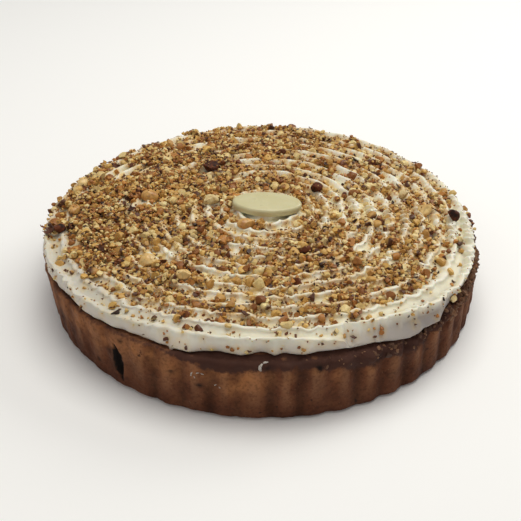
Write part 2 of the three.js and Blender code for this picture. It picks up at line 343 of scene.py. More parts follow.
def makeCase():
    wall = [(case["drawnRadius"], z) for z in np.linspace(2.5, 31.5, 27)]
    section = [(0, 0), (60, 0), (108, 0), (115, 0), (118.6, 0), (119.9, 0.45), (120.6, 1.2)]
    section += wall + [(120.8, 32.3), (120.4, 33), (119.8, 33.5), (119, 33.85), (118.2, 33.9)]
    section += [(r, 33.2 + 0.8 * abs(r - 115.5) / 3) for r in np.arange(117.5, 112, -0.7)]
    section += [(111.5, 34), (110, 34), (80, 34), (0, 34)]
    piece = drawSection(section)
    markAll()
    columns = case["flutes"] * case["columnsPerFlute"]
    bpy.ops.mesh.spin(steps=columns, angle=2 * pi, center=(0, 0, 0), axis=(0, 0, 1))
    weld(piece, 0.002)

    drawn = readPoints(piece)
    angle = np.arctan2(drawn[:, 1], drawn[:, 0])
    radius = np.hypot(drawn[:, 0], drawn[:, 1])
    z = drawn[:, 2]
    edge = unit((radius - 111) / 8)  # 0 under the cream, 1 at the wall
    onTop = (z > 32.6) * edge

    # flutes, softer on the left and towards the foot, no two quite alike
    rib = np.abs(np.sin(case["flutes"] * (angle - radians(case["firstValley"])) / 2))
    rib = np.sqrt(rib ** 2 + 0.06) / np.sqrt(1.06)
    around = polar(np.full(len(angle), 60.0), angle, np.zeros(len(angle)))
    depth = case["fluteDepth"] * (1 + 0.45 * bumps(around, 7, 3)) * (1 - fading(angle, case["shallow"]))
    depth = depth * (1 - fading(angle, case["smoothSide"]))
    depth = depth * np.interp(z, [0, 2.5, 17, 31.5, 34], [0.45, 0.7, 0.9, 1, 0.8]) * edge ** 1.5
    share = z / case["height"]
    foot = case["footRadius"] - case["footOval"] * np.cos(2 * angle)
    rim = case["rimRadius"] + case["rimShift"] * np.cos(angle)
    outline = foot + (rim - foot) * share
    moved = radius + (outline - case["drawnRadius"]) * unit((radius - 70) / 40)
    moved = moved - depth * (1 - rib)

    # hand-pressed dough: broad bulges, then crumb
    dough = layers(drawn, case["pressed"]) + layers(drawn, case["crumb"])
    moved = moved + dough * edge * (z > 0.3)
    crumbly = fading(angle, case["crumbly"])
    rough = unit((z - 24 + 3 * bumps(drawn, 7, 20)) / 5) * edge
    lumps = layers(drawn, case["lumps"])
    moved = moved + rough * (0.15 + 0.5 * crumbly) * (np.clip(lumps, -1, 0.7) - 0.1)
    sag = np.interp(z, [2.5, 17, 31.5], [0, 0.4, 1]) * unit((radius - 112) / 7.5)
    height = z - sag * fading(angle, case["brokenRim"]) * (0.75 + 0.35 * bumps(drawn, 9, 10))
    height = height + onTop * (0.35 + 0.9 * crumbly) * bumps(drawn, 3.2, 11)
    height = height + onTop * (0.25 + 0.5 * crumbly) * bumps(drawn, 1.5, 12)

    # the split in the wall, painted dark inside and along one side as painted shade, and the small dark pits
    crack = case["crack"]
    middle = (crack["low"] + crack["high"]) / 2
    across = alongWall(angle, crack["direction"]) + crack["lean"] * (z - middle)
    along = unit((z - crack["low"]) / (crack["high"] - crack["low"]))
    gape = crack["width"] * np.sin(pi * along ** 1.2) ** 0.8 * (1 + 0.3 * bumps(drawn, 2.5, 13))
    inside = (radius > 120) * (along > 0) * (along < 1)
    moved = moved - crack["depth"] * unit((gape - np.abs(across)) / 1.4 + 0.2) * inside
    # painted shade: the inside of the crack is painted near black, and a painted shadow lies beside it
    burnAndShade = 2 * unit((1.15 * gape - np.abs(across)) / 0.7 + 0.5) * inside
    beside = np.exp(-(((across + 2.6) / 2.2) ** 2)) * inside
    burnAndShade = burnAndShade + 0.55 * beside * (along > 0.25) * (along < 0.85)
    for direction, level, size in case["darkPits"]:
        distance = alongWall(angle, direction) ** 2 + (z - level) ** 2
        spot = np.exp(-(distance / size ** 2)) * (radius > 118)
        spot = spot * (0.6 + 0.6 * bumps(drawn, 1.6, 14))
        burnAndShade = burnAndShade + 1.1 * spot
        moved = moved - 0.35 * spot
    writePoints(piece, polar(moved, angle, np.clip(height, 0, 34.6)))
    share = np.clip(0.85 + 1.3 * bumps(around, 6, 35), 0.1, 1.3)  # the painted valley shade and crest highlight differ from flute to flute, weaker on some
    paint(piece, "rib", unit(1 - (1 - rib) * share))
    paint(piece, "burnAndShade", unit(burnAndShade))
    # painted shade on browned crust: the band and the rim top under the cream are darkened where the cream
    # shades them, the hollows of the crumbly rim where they shade themselves
    lowest = np.interp(np.degrees(angle), *case["ledge"]) - 2.6 * (1 - rib)  # it runs down the flutes
    band = unit((z - lowest + layers(drawn, case["uneven"])) / 4 + 0.5) * (radius > 112)
    band = band * (np.degrees(angle) < case["ledge"][0][-1])
    hollow = rough * unit(crumbly) * np.clip(-lumps, 0, 0.9)
    behind = 0.7 * onTop * unit((case["drawnRadius"] - radius) / 1.5)
    paint(piece, "ledge", unit(np.maximum.reduce([band, hollow, behind])))
    golden = np.zeros(len(angle))
    for direction, level, wide, tall, strength in case["golden"]:
        across = alongWall(angle, direction) / wide
        golden += strength * np.exp(-(across ** 2) - ((z - level) / tall) ** 2)
    patchy = 0.75 + 0.45 * bumps(drawn, 3.5, 18) + 0.35 * bumps(drawn, 9, 19)
    paint(piece, "golden", unit(golden * patchy) * edge)
    return piece


def pastryMaterial():
    look = Look("bakedPastry", Roughness=0.8, Specular_IOR_Level=0.13)
    blotches = look.noise(55, 5, 0.6)
    colour = look.ramp(blotches, *case["dough"])
    height = look.add("SeparateXYZ", Vector=look.add("TexCoord").outputs["Object"]).outputs["Z"]
    low = look.span(height, 0.0, 0.024, 1.0, 0.0)
    colour = look.mix(look.times(low, 0.7), colour, case["foot"], "MULTIPLY")
    # painted shade in the flute valleys
    valley = look.span(look.painted("rib"), 0.15, 0.8, 0.74, 0.0)
    colour = look.mix(valley, colour, case["valley"], "MULTIPLY")
    # the crests lighter in their upper part: worn crust, and a painted highlight
    crest = look.span(look.painted("rib"), 0.82, 1.0, 0.0, 0.42)
    upper = look.span(height, 0.006, 0.02)
    colour = look.mix(look.times(crest, upper), colour, case["crest"])
    # golden crust, and painted highlights on a few flute crests
    baked = look.times(look.painted("golden"), look.span(blotches, 0.3, 0.6, 0.35, 1.0))
    colour = look.mix(baked, colour, case["baked"])
    grain = look.ramp(look.noise(620, 2, 0.6), (0.34, (0.5, 0.5, 0.5)), (0.52, (1, 1, 1)))
    colour = look.mix(0.62, colour, grain, "MULTIPLY")
    flecks = look.span(look.noise(900, 1, 0.5, offset=0.3), 0.68, 0.76)
    colour = look.mix(look.times(flecks, 0.2), colour, case["fleck"])
    specks = look.span(look.noise(330, 2, 0.5, offset=0.7), 0.7, 0.76)
    colour = look.mix(look.times(specks, 0.8), colour, case["speck"])
    ragged = look.span(look.noise(420, 4, 0.7, offset=0.4), 0.3, 0.7, -0.3, 0.3)
    # browned crust, and painted shade under the cream and in the rim's hollows
    dark = look.span(look.times(look.painted("ledge"), ragged, "ADD"), 0.3, 0.8, 0.0, 0.94)
    dark = look.times(dark, look.span(look.painted("ledge"), 0.0, 0.25))
    colour = look.mix(dark, colour, case["browningAndShade"])
    # near black: painted shade in the crack and one painted shadow, burnt crust in the pits
    colour = look.mix(look.painted("burnAndShade"), colour, case["burntAndShade"])
    rough = look.span(look.noise(130, 3), 0.3, 0.7, 0.66, 0.9)
    normal = look.bump(look.noise(260, 5, 0.65), 0.6, 0.0006)
    normal = look.bump(look.noise(1100, 3, 0.6), 0.5, 0.0002, normal)
    return look.connect(colour, rough, normal)


pastry = pastryMaterial()
casePiece = makeCase()
finishPiece(casePiece, "pastry_case", pastry, ["flan_case"])


cream = {
    "turns": 14, "stepsPerTurn": 1024, "reach": 118.5, "end": -69,
    "waves": [(1, 2.0, -48), (2, 3.5, 8), (3, 3.4, -38)],  # lobes, depth, direction
    "middleHeight": 48, "edgeHeight": 43, "underside": 34.3, "tailHeight": 34.7,
    "tail": ([0, 1.0, 3, 8, 14], [0, 0.46, 0.62, 0.84, 1]),  # degrees from the end, share of the height
    "slump": (-50, 12, 2.4),  # where the hem runs over the broken rim: direction, spread, drop
    "bulge": (-37, 16, 3.2),  # the last two turns stand further out here: direction, spread, reach
    "worn": (-128, 18, 2.0),  # the last lip is pressed down here: direction, spread, drop
    # foot of the last turn, from its start round to its end: direction and radius
    "hem": ([-69, -62, -57, -53, -48, -43, -40, -36, -27, -15, 0, 20, 60, 110, 160, 195, 205, 210,
             215, 222, 228, 232, 236, 242, 249, 253, 256, 260, 265, 269.5, 273, 276, 280, 284, 291],
            [115, 115.9, 118.6, 120.2, 119.4, 120.7, 118.2, 117, 117, 117, 117.4, 118.4, 119.6, 119.8,
             121.5, 123, 122.6, 121.6, 120.5, 121.2, 119.8, 119.6, 118, 117, 118.5, 118, 115.3, 113.8,
             114.6, 112, 114.3, 113.3, 115.5, 114.7, 115.2]),
    "nubs": (7.6, 6.2),  # length of one scallop of a lip, and where the teeth show most
    "teeth": [(-4, 34, 1), (-132, 24, 0.4), (-90, 30, 0.22)],  # where they show: direction, spread, amount
    "drip": {"direction": -111.6, "degree": 2.1, "width": 0.9, "out": 0.9, "down": 1.9},
    "pitch": 8.3,  # from lip to lip, where the terraces are as drawn below
    # how the strand wanders out and in, up and down, and its fine bumps: height, size, seed
    "outward": [(1.3, 17, 21), (0.95, 6, 22)], "upward": [(0.8, 16, 23), (0.7, 5, 24)],
    "fine": [(0.14, 3.4, 27), (0.08, 1.6, 28)],
    "triangles": 172000,
    # linear colours: the cream's own, then painted shade in its valleys, down its side and in shaded places,
    # then what stains it
    "whipped": [(0.3, (0.78, 0.755, 0.63)), (0.7, (0.86, 0.835, 0.72))],
    "yellow": (0.75, 0.69, 0.43), "side": (0.77, 0.69, 0.59), "shade": (0.33, 0.295, 0.28),
    "sugar": (0.76, 0.53, 0.17), "dust": (0.58, 0.34, 0.1), "grain": (0.4, 0.17, 0.04),
}
# Across one terrace, from a lip out to the next: share of the way, further out, drop, and
# how much it follows the scallops of the lip behind and of the lip in front
terrace = np.array([
    (0.00, 0.00, 0.00, 1.0, 0.0), (0.04, 0.25, 0.08, 1.0, 0.0), (0.07, 0.5, 0.4, 1.0, 0.0),
    (0.08, 0.55, 0.95, 0.9, 0.0), (0.12, 0.45, 1.5, 0.7, 0.0), (0.2, 0.3, 1.95, 0.5, 0.0),
    (0.34, 0.15, 2.3, 0.3, 0.1), (0.48, 0.00, 2.6, 0.1, 0.3), (0.58, 0.00, 2.7, 0.0, 0.5),
    (0.68, 0.00, 2.25, 0.0, 0.7), (0.78, 0.00, 1.45, 0.0, 0.85), (0.87, 0.00, 0.65, 0.0, 1.0),
    (0.94, 0.00, 0.15, 0.0, 1.0), (1.00, 0.00, 0.00, 0.0, 1.0),
])
# Down the outermost face: share of its height, further out than a straight line from lip to hem
outerFace = np.array([
    (0.00, 0.00), (0.012, 0.42), (0.06, 0.75), (0.14, 0.55), (0.25, 0.5), (0.4, 0.62), (0.56, 0.8),
    (0.72, 0.9), (0.86, 0.8), (0.95, 0.5), (1.00, 0.0),
])
lastStep = cream["turns"] * cream["stepsPerTurn"]
lastTurn = lastStep - cream["stepsPerTurn"]


def stepAngle(step):
    return radians(cream["end"]) + (step - lastStep) * 2 * pi / cream["stepsPerTurn"]


def domeHeight(radius):
    share = np.minimum(1, radius / cream["reach"])
    return cream["middleHeight"] + (cream["edgeHeight"] - cream["middleHeight"]) * share ** 2


def toothed(angle):
    return np.maximum.reduce([fading(angle, place) for place in cream["teeth"]])


# Every lip of the strand, worked out once for each step
def lipTable():
    step = np.arange(lastStep + 1.0)
    angle = stepAngle(step)
    share = step / lastStep
    wave = sum(depth * np.cos(lobes * (angle - radians(at))) for lobes, depth, at in cream["waves"])
    radius = share * (cream["reach"] + share * wave)
    flat = polar(radius, angle, np.zeros_like(angle))
    settled = unit(step / cream["stepsPerTurn"]) * unit((lastStep - step) / 80)
    radius = radius + settled * layers(flat, cream["outward"])
    radius = radius + fading(angle, cream["bulge"]) * unit((share - 0.78) / 0.1)
    toGo = (lastStep - step) * 360 / cream["stepsPerTurn"]
    tail = np.interp(toGo, *cream["tail"])
    radius = radius - 2.2 * unit(1 - toGo / 20)
    z = domeHeight(radius) + settled * layers(flat, cream["upward"])
    direction, spread, drop = cream["worn"]
    worn = towards(angle, direction, spread) * unit((step - lastTurn) / 40)
    z = z - drop * worn
    z = cream["tailHeight"] + (z - cream["tailHeight"]) * tail
    length = np.interp(toothed(angle), [0.2, 1], cream["nubs"])
    arc = np.cumsum(radius / length) * 2 * pi / cream["stepsPerTurn"]
    phase = pi * (arc + 1.1 * bumps(flat, 14, 25) + 0.5 * bumps(flat, 5, 29))
    size = (0.8 + 1.5 * toothed(angle)) * (1 + 1.5 * bumps(flat, 9, 26)) * tail * (1 - 0.5 * worn)
    deep = 1 + 0.35 * bumps(flat, 24, 30)
    fade = np.clip(toGo / 12, 0.05, 1)  # the last few millimetres melt into the turn behind
    return {"radius": radius, "z": z, "angle": angle, "phase": phase, "size": size, "deep": deep,
            "worn": worn, "fade": fade}


# The scallops left by the nozzle's teeth, leaning along the strand as they go out
def scallop(lip, lean):
    return (np.abs(np.sin(lip["phase"] + lean)) ** 0.9 - 0.6) * lip["size"]


def gridOf(columns, rows):
    selectOnly()
    bpy.ops.mesh.primitive_grid_add(x_subdivisions=columns, y_subdivisions=rows, size=1)
    piece = bpy.context.object
    flat = readPoints(piece) * mm + 0.5
    return piece, np.rint(flat[:, 0] * columns).astype(int), np.rint(flat[:, 1] * rows).astype(int)


def makeCream():
    lips = lipTable()
    count = cream["stepsPerTurn"]

    # the terraces between the turns
    piece, step, row = gridOf(lastTurn, len(terrace) - 1)
    across, out, drop, behind, ahead = terrace[row].T
    inner = {name: values[step] for name, values in lips.items()}
    outer = {name: values[step + count] for name, values in lips.items()}
    pitch = outer["radius"] - inner["radius"]
    squeeze = np.clip(pitch / cream["pitch"], 0.3, 1.1)
    nub = behind * scallop(inner, 1.5 * across) + ahead * scallop(outer, 1.5 * (across - 1))
    angle = inner["angle"]
    radius = inner["radius"] + across * pitch + out * squeeze + nub
    level = inner["z"] + across * (outer["z"] - inner["z"])
    low = np.clip((inner["z"] - cream["underside"] - 0.5) / 8, 0.1, 1)
    z = level - drop * squeeze * low * inner["deep"] * (1 - 0.6 * outer["worn"]) * outer["fade"] - 0.42 * nub
    teeth = 0.1 + 0.35 * toothed(angle)
    ridge = np.cos(2 * pi * (across * 2.6 - 0.1)) * np.sin(pi * unit((across - 0.05) / 0.9))
    z = z + teeth * ridge * 0.8 * squeeze
    start = polar(radius, angle, z)
    inside = np.sin(pi * across) ** 0.3 * 0.8 + 0.2
    start[:, 2] += layers(start, cream["fine"]) * inside * (across > 0) * (across < 1)
    writePoints(piece, start)

    # the outermost face, down to the ledge of the case
    face, step, row = gridOf(count, len(outerFace) - 1)
    down, out = outerFace[row].T
    step = step + lastTurn
    own = {name: values[step] for name, values in lips.items()}
    angle = own["angle"]
    tall = own["z"] - cream["underside"]
    turned = (step - lastTurn) * 360 / count
    direction, spread, drop = cream["slump"]
    slump = towards(angle, direction, spread) * (turned < 180)
    edgeline = polar(np.full(len(angle), 120.0), angle, 0 * angle)
    hem = np.interp(cream["end"] + turned, *cream["hem"]) + 0.9 * bumps(edgeline, 4.2, 32)
    out = out * np.clip(tall / 8, 0.1, 1) * np.clip(turned / 12, 0.1, 1)
    radius = own["radius"] + (hem - own["radius"]) * down ** (0.9 + 1.6 * slump) + out
    nub = scallop(own, 1.2 * down)
    radius = radius + nub * unit(1 - down * 1.5)
    z = own["z"] - down * tall - 0.42 * nub * unit(1 - down * 4) - drop * slump * down ** 3
    start = polar(radius, angle, z)
    lines = 0.16 * np.sin(down * 17) * unit(tall / 8) * np.sin(pi * down)
    soft = lines + 0.4 * bumps(start, 5, 33) * np.sin(pi * down)
    bead = cream["drip"]
    away = (np.degrees(angle) - bead["direction"]) * bead["degree"] / bead["width"]
    drip = np.exp(-(away ** 2)) * (down > 0.9)
    writePoints(face, start + polar(soft + bead["out"] * drip, angle, -bead["down"] * drip))

    # join the two, then close the end of the strand, the underside and the middle
    selectOnly(piece, face)
    bpy.ops.object.join()
    weld(piece, 0.004)
    editAll(piece)
    mesh = bmesh.from_edit_mesh(piece.data)
    endAngle = radians(cream["end"])
    normal = Vector((-sin(endAngle), cos(endAngle), 0))

    def markOpen(test):
        markOnly(piece, [edge for edge in mesh.edges
                         if len(edge.link_faces) < 2 and all(test(corner.co) for corner in edge.verts)])

    bottom = (cream["underside"] + 0.0004) * mm
    ends = [corner for corner in mesh.verts if abs(corner.co.dot(normal)) < 2e-6 and corner.co.z < bottom
            and corner.co.y < 0 and any(len(edge.link_faces) < 2 for edge in corner.link_edges)]
    markOnly(piece, ends)
    print("strand ends at", len(ends), "points")
    bpy.ops.mesh.edge_face_add()
    markOpen(lambda co: abs(co.dot(normal)) < 2e-6 and co.y < -0.09)
    bpy.ops.mesh.fill()
    markOpen(lambda co: co.z < bottom)
    bpy.ops.mesh.fill()
    markOpen(lambda co: hypot(co.x, co.y) < 0.012)
    bpy.ops.mesh.fill()
    markAll()
    bpy.ops.mesh.quads_convert_to_tris()
    bpy.ops.mesh.normals_make_consistent(inside=False)
    objectMode()
    have = len(piece.data.polygons)
    applyModifier(piece, "DECIMATE", ratio=cream["triangles"] / have)
    return piece, lips


def paintCream(piece, lips):
    points = readPoints(piece)
    angle = np.arctan2(points[:, 1], points[:, 0])
    radius = np.hypot(points[:, 0], points[:, 1])
    below = domeHeight(radius) - points[:, 2]
    last = slice(lastTurn, lastStep)
    around = np.degrees(stepAngle(np.arange(lastTurn, lastStep)))
    outermost = np.interp(np.degrees(angle), around, lips["radius"][last], period=360)
    # painted shade: darker, yellower cream in the valleys between the lips
    valley = unit((below - 0.9) / 1.8) * (radius < outermost - 0.6) * (below < 4.5)
    outer = unit((radius - 96) / 10)
    paint(piece, "valley", valley * (1 - 0.75 * towards(angle, -145, 55)) * (1 - 0.4 * outer))
    rightShade = towards(angle, -44, 24) * unit((below - 2) / 3)
    leftShade = 0.42 * towards(angle, -150, 48) * unit((radius - 98) / 12)
    paint(piece, "shaded", np.maximum(rightShade, leftShade))
    x, y = points[:, 0], points[:, 1]
    paint(piece, "dusted", unit(nutShare(x, y) * heaps(x, y)))
    # painted shade: darker, warmer cream down the side faces
    paint(piece, "side", unit((below - 3) / 3))


# How thickly the nuts lie: nearly bare on the outer turns at the front and right, thickest on the left
nutEdge = {
    "direction": [-180, -160, -140, -120, -100, -80, -50, -20, 0, 25, 45, 60, 75, 90, 110, 140, 160, 180],
    "radius": [120, 111, 105, 103, 101, 100, 100, 100, 104, 112, 119, 115, 111, 119, 121, 121, 121, 120],
    "thick": [1.25, 1.05, 0.8, 0.82, 0.84, 0.88, 0.92, 0.76, 0.62, 0.63, 0.75, 0.88, 1.0, 1.1, 1.05, 1.05,
              1.2, 1.25],
}


def nutShare(x, y):
    edge = np.interp(np.degrees(np.arctan2(y, x)), nutEdge["direction"], nutEdge["radius"])
    inside = unit((edge - np.hypot(x, y)) / 16 + 0.6)
    return inside * inside * (3 - 2 * inside)


# places that got more or less than the noise gives: x, y, radius, how much more
handfuls = [(-66, 15, 20, 0.35), (-91, 45, 9, -1.1), (-97, 8, 14, 0.2), (-3, 88, 20, 0.35),
            (86, -20, 12, 0.1), (50, 16, 14, -0.2), (-6, -85, 12, -0.15), (80, 28, 12, 0.12),
            (-6, -57, 12, 0.25), (-68, -50, 10, 0.15)]


# Where the nuts fell: 1 in a heap, little between
def heaps(x, y):
    at = np.stack([x, y, 0 * x], axis=1)
    thick = np.interp(np.degrees(np.arctan2(y, x)), nutEdge["direction"], nutEdge["thick"])
    heap = thick * (0.72 + 0.5 * bumps(at, 17, 51) + 0.75 * bumps(at, 7, 52))
    for middleX, middleY, size, more in handfuls:
        heap = heap + more * np.exp(-((x - middleX) ** 2 + (y - middleY) ** 2) / size ** 2)
    return np.clip(heap, 0.06, 1.5)


def creamMaterial():
    look = Look("whippedCream", Roughness=0.42, IOR=1.4, Subsurface_Weight=0.25,
                           Subsurface_Radius=(1.0, 0.7, 0.4), Subsurface_Scale=0.003)
    colour = look.ramp(look.noise(70, 4, 0.5), *cream["whipped"])
    # painted shade in the valleys, down the side and in the shaded places
    valley = look.times(look.painted("valley"), 0.75)
    colour = look.mix(valley, colour, cream["yellow"])
    side = look.times(look.painted("side"), 0.8)
    colour = look.mix(side, colour, cream["side"])
    colour = look.mix(look.painted("shaded"), colour, cream["shade"])
    stain = look.painted("stain")
    golden = look.span(look.noise(260, 4, 0.6, offset=0.2), 0.34, 0.6, 0.1, 0.95)
    colour = look.mix(look.times(golden, stain), colour, cream["sugar"])
    under = look.times(stain, look.painted("dusted"))
    colour = look.mix(look.times(under, 0.75), colour, cream["dust"])
    grains = look.span(look.noise(520, 3, 0.65), 0.47, 0.6)
    colour = look.mix(look.times(grains, under), colour, cream["grain"])
    rough = look.span(look.noise(180, 3), 0.3, 0.7, 0.36, 0.55)
    normal = look.bump(look.noise(420, 4, 0.55), 0.35, 0.0004)
    normal = look.bump(look.noise(1500, 2, 0.5), 0.25, 0.00012, normal)
    return look.connect(colour, rough, normal)


whippedCream = creamMaterial()
creamPiece, lips = makeCream()
paintCream(creamPiece, lips)
finishPiece(creamPiece, "piped_cream", whippedCream, ["cream_spiral"])


# Small dabs of cream on the wall: direction, level, length, width, thickness, bend and turn in degrees
dabs = [(-90.4, 33.2, 5.2, 1.7, 1.5, 110, 80), (-89.2, 35.4, 2.4, 1.0, 1.0, 40, 15),
        (-105.9, 25.0, 3.0, 0.8, 0.5, 50, 75), (-104.4, 26.2, 2.0, 0.6, 0.4, 60, 20),
        (-103.4, 26.0, 1.8, 0.7, 0.4, 50, 160), (-105.2, 23.4, 1.4, 0.6, 0.3, 20, 110),
        (-100.4, 20.2, 1.7, 0.5, 0.3, 60, 40), (-99.4, 19.2, 1.2, 0.4, 0.3, 30, 130)]


def makeDabs():
    made = []
    for number, (direction, level, long, wide, thick, bend, turn) in enumerate(dabs):
        selectOnly()
        bpy.ops.mesh.primitive_ico_sphere_add(subdivisions=4, radius=0.5 * mm)
        piece = bpy.context.object
        points = readPoints(piece)
        taper = 1 - 0.5 * (points[:, 0] + 0.5) ** 2
        along, across, out = points[:, 0] * long, points[:, 1] * wide * taper, points[:, 2] * thick
        around = along / long * radians(bend)
        radius = long / radians(bend)
        across = radius + across
        points = np.stack([across * np.sin(around), across * np.cos(around) - radius, out], axis=1)
        points *= 1 + 0.3 * bumps(points, 0.9, 90 + number)[:, None]
        along, across, out = points.T
        right = along * cos(radians(turn)) - across * sin(radians(turn))
        upward = along * sin(radians(turn)) + across * cos(radians(turn))
        outward = outwardAt(radians(direction))
        ray = outward * 0.2 + Vector((0, 0, min(level, 32.5) * mm))
        wall = casePiece.ray_cast(ray, -outward)[1].to_2d().length / mm
        place = np.outer(wall + 0.25 * thick + out, outward) + np.outer(right, (-outward.y, outward.x, 0))
        writePoints(piece, place + np.outer(level + upward, (0, 0, 1)))
        made.append(piece)
    selectOnly(*made)
    bpy.ops.object.join()
    return made[0]


# painted shade: the dabs are coloured much darker than the cream on top
def shadedDabMaterial():
    look = Look("shadedDabCream", Specular_IOR_Level=0.3)
    colour = look.ramp(look.noise(900, 3, 0.6), (0.35, (0.3, 0.25, 0.21)), (0.6, (0.55, 0.51, 0.46)))
    rough = look.span(look.noise(1200, 3), 0.3, 0.7, 0.4, 0.7)
    normal = look.bump(look.noise(1500, 3, 0.6), 0.6, 0.0002)
    return look.connect(colour, rough, normal)


finishPiece(makeDabs(), "cream_dabs", shadedDabMaterial())


oval = {
    "length": 39, "width": 22, "thickness": 4.6, "centre": (1.4, 0.8), "top": 52.2, "turn": -4,
    "rounding": 1.7,
    "crown": [(0.9, 0.06), (0.8, 0.08), (0.65, 0.08), (0.4, 0.05)],  # each ring inwards: share, rise
    "chocolate": [(0.3, (0.58, 0.53, 0.3)), (0.7, (0.63, 0.585, 0.36))], "bloom": (0.78, 0.74, 0.56),
}


def makeOval():
    selectOnly()
    bpy.ops.mesh.primitive_cylinder_add(vertices=160, radius=oval["length"] / 2 * mm,
                                        depth=oval["thickness"] * mm, end_fill_type="NGON")
    piece = bpy.context.object
    piece.scale = (1, oval["width"] / oval["length"], 1)
    bpy.ops.object.transform_apply(location=False, rotation=False, scale=True)
    editAll(piece)
    mesh = bmesh.from_edit_mesh(piece.data)
    markAll("DESELECT")
    for edge in mesh.edges:
        edge.select_set(abs(edge.verts[0].co.z - edge.verts[1].co.z) < 1e-6)
    bmesh.update_edit_mesh(piece.data)
    bpy.ops.mesh.bevel(offset=oval["rounding"] * mm, segments=8, profile=0.5)
    # the face is a little crowned, as a moulded piece is
    mesh = bmesh.from_edit_mesh(piece.data)
    markOnly(piece, [max(mesh.faces, key=lambda face: face.calc_center_median().z)])
    for shrink, rise in oval["crown"]:
        bpy.ops.mesh.extrude_region_move(TRANSFORM_OT_translate={"value": (0, 0, rise * mm)})
        bpy.ops.transform.resize(value=(shrink, shrink, 1), center_override=(0, 0, 0))
    bpy.ops.mesh.merge(type="CENTER")
    objectMode()
    points = readPoints(piece)
    points[:, 2] += oval["thickness"] / 2 - points[:, 2].max()
    writePoints(piece, points)
    piece.rotation_euler[2] = radians(oval["turn"])
    piece.location = Vector((*oval["centre"], oval["top"] - oval["thickness"] / 2)) * mm
    return piece


def chocolateMaterial():
    look = Look("whiteChocolate", Roughness=0.33, IOR=1.46, Subsurface_Weight=0.12,
                           Subsurface_Radius=(1.0, 0.7, 0.35), Subsurface_Scale=0.002)
    colour = look.ramp(look.noise(95, 4, 0.5), *oval["chocolate"])
    bloom = look.span(look.noise(700, 2, 0.5), 0.6, 0.75)
    colour = look.mix(look.times(bloom, 0.2), colour, oval["bloom"])
    rough = look.span(look.noise(160, 4), 0.3, 0.7, 0.26, 0.42)
    normal = look.bump(look.noise(130, 3, 0.5), 0.2, 0.0003)
    return look.connect(colour, rough, normal)


ovalPiece = makeOval()
finishPiece(ovalPiece, "white_chocolate_oval", chocolateMaterial(), ["chocolate_plaque"], 40)


chopped = {
    "seed": 11, "cell": 0.5, "reach": 126,
    # size from and to, number, how far a bit rolls, the share that is missing on the right, and the
    # shares of golden, pale, caramel and skin
    "sorts": [
        {"size": (3.6, 6.4), "count": 1200, "roll": 1.6, "missing": 0.5, "kinds": (0.34, 0.4, 0.16, 0.1)},
        {"size": (2.1, 3.6), "count": 3200, "roll": 1.5, "missing": 0.34, "kinds": (0.34, 0.27, 0.24, 0.15)},
        {"size": (1.0, 2.1), "count": 6400, "roll": 1.0, "missing": 0.34, "kinds": (0.22, 0.12, 0.38, 0.28)},
    ],
    "lowest": 39, "aboveTop": 1.0,  # no bit lies below this level or reaches further over the oval
    "lipShare": 0.92,  # how many of the bits that fall on a lip roll off it
    "roomByOval": (3.6, 1.4),  # bare cream in front of the oval and behind it
    "peel": (0.1, 0.035, 0.014),  # linear colour of the skin left on some kernels
    "outerBits": {"count": 260, "levels": (35.5, 43), "least": 0.8, "more": 1.9, "innermost": 0.107},
    "dust": {"size": (0.6, 1.1), "count": 3600, "dark": (0.16, 0.06, 0.02), "light": (0.66, 0.4, 0.13)},
    # bits at the edge and on the outer face: direction, distance, height, size and kind
    "strays": [(-170, 119.5, 43, 5.4, 3), (-171.5, 121, 42.5, 4.6, 3), (-168.5, 120.5, 43.4, 4.4, 3),
               (-172.4, 119, 43.6, 3.4, 3), (-167.3, 119, 44, 2.2, 3), (-170.6, 122, 42.2, 2.0, 3),
               (2, 118, 44, 3, 2), (0, 119.5, 43.6, 2.6, 3), (-1.5, 120.5, 43, 2.4, 2),
               (3.5, 119, 43.8, 2.4, 1), (5, 118.5, 44, 2.8, 0), (-3, 119.8, 42.5, 2.2, 3),
               (1, 121, 42.8, 2.0, 2), (6.5, 119.3, 43.6, 2.2, 2), (-5, 119, 43, 2, 1),
               (-35.5, 121.2, 36.4, 3.6, 1), (-60, 116.6, 38.5, 2.6, 2), (-62, 117, 37.6, 2.2, 3),
               (-113, 118.5, 38.5, 3.0, 3), (-67.4, 115, 39.5, 3.2, 3), (-130, 114, 40.5, 3.4, 3),
               (-75.7, 116, 39.5, 2.2, 3)],
    # bits that stand out among the others: direction, distance, size and kind
    "noticed": [(-95, 97, 4.6, 3), (-126, 88, 3.2, 3), (-60, 83, 3.4, 3), (-60, 70, 2.8, 3),
                (22, 85, 3.6, 3), (35, 113.5, 3.6, 3), (154, 94, 3.4, 3), (-89, 91, 5.2, 1),
                (88, 110, 5.0, 3), (-176, 71, 5.0, 3), (-159, 69, 4.6, 3), (-149, 75, 2.8, 3),
                (-128, 66, 3.4, 3), (-128, 117, 4.0, 3), (-126, 104, 3.8, 3), (-112, 89, 3.4, 3),
                (-71, 55, 3.4, 3), (7, 47, 3.2, 3), (30, 69, 3.4, 3), (37, 83, 4.0, 3), (77, 109, 3.6, 3),
                (-24, 105, 3.4, 3), (-59, 36, 3.0, 3), (-102, 99, 2.8, 3), (-100, 91, 5.0, 0),
                (-117, 80, 4.0, 2), (64, 81, 3.0, 0)],
}


def cellOf(*place):  # where on the net a place is
    return tuple(int((value + chopped["reach"]) / chopped["cell"]) for value in place)


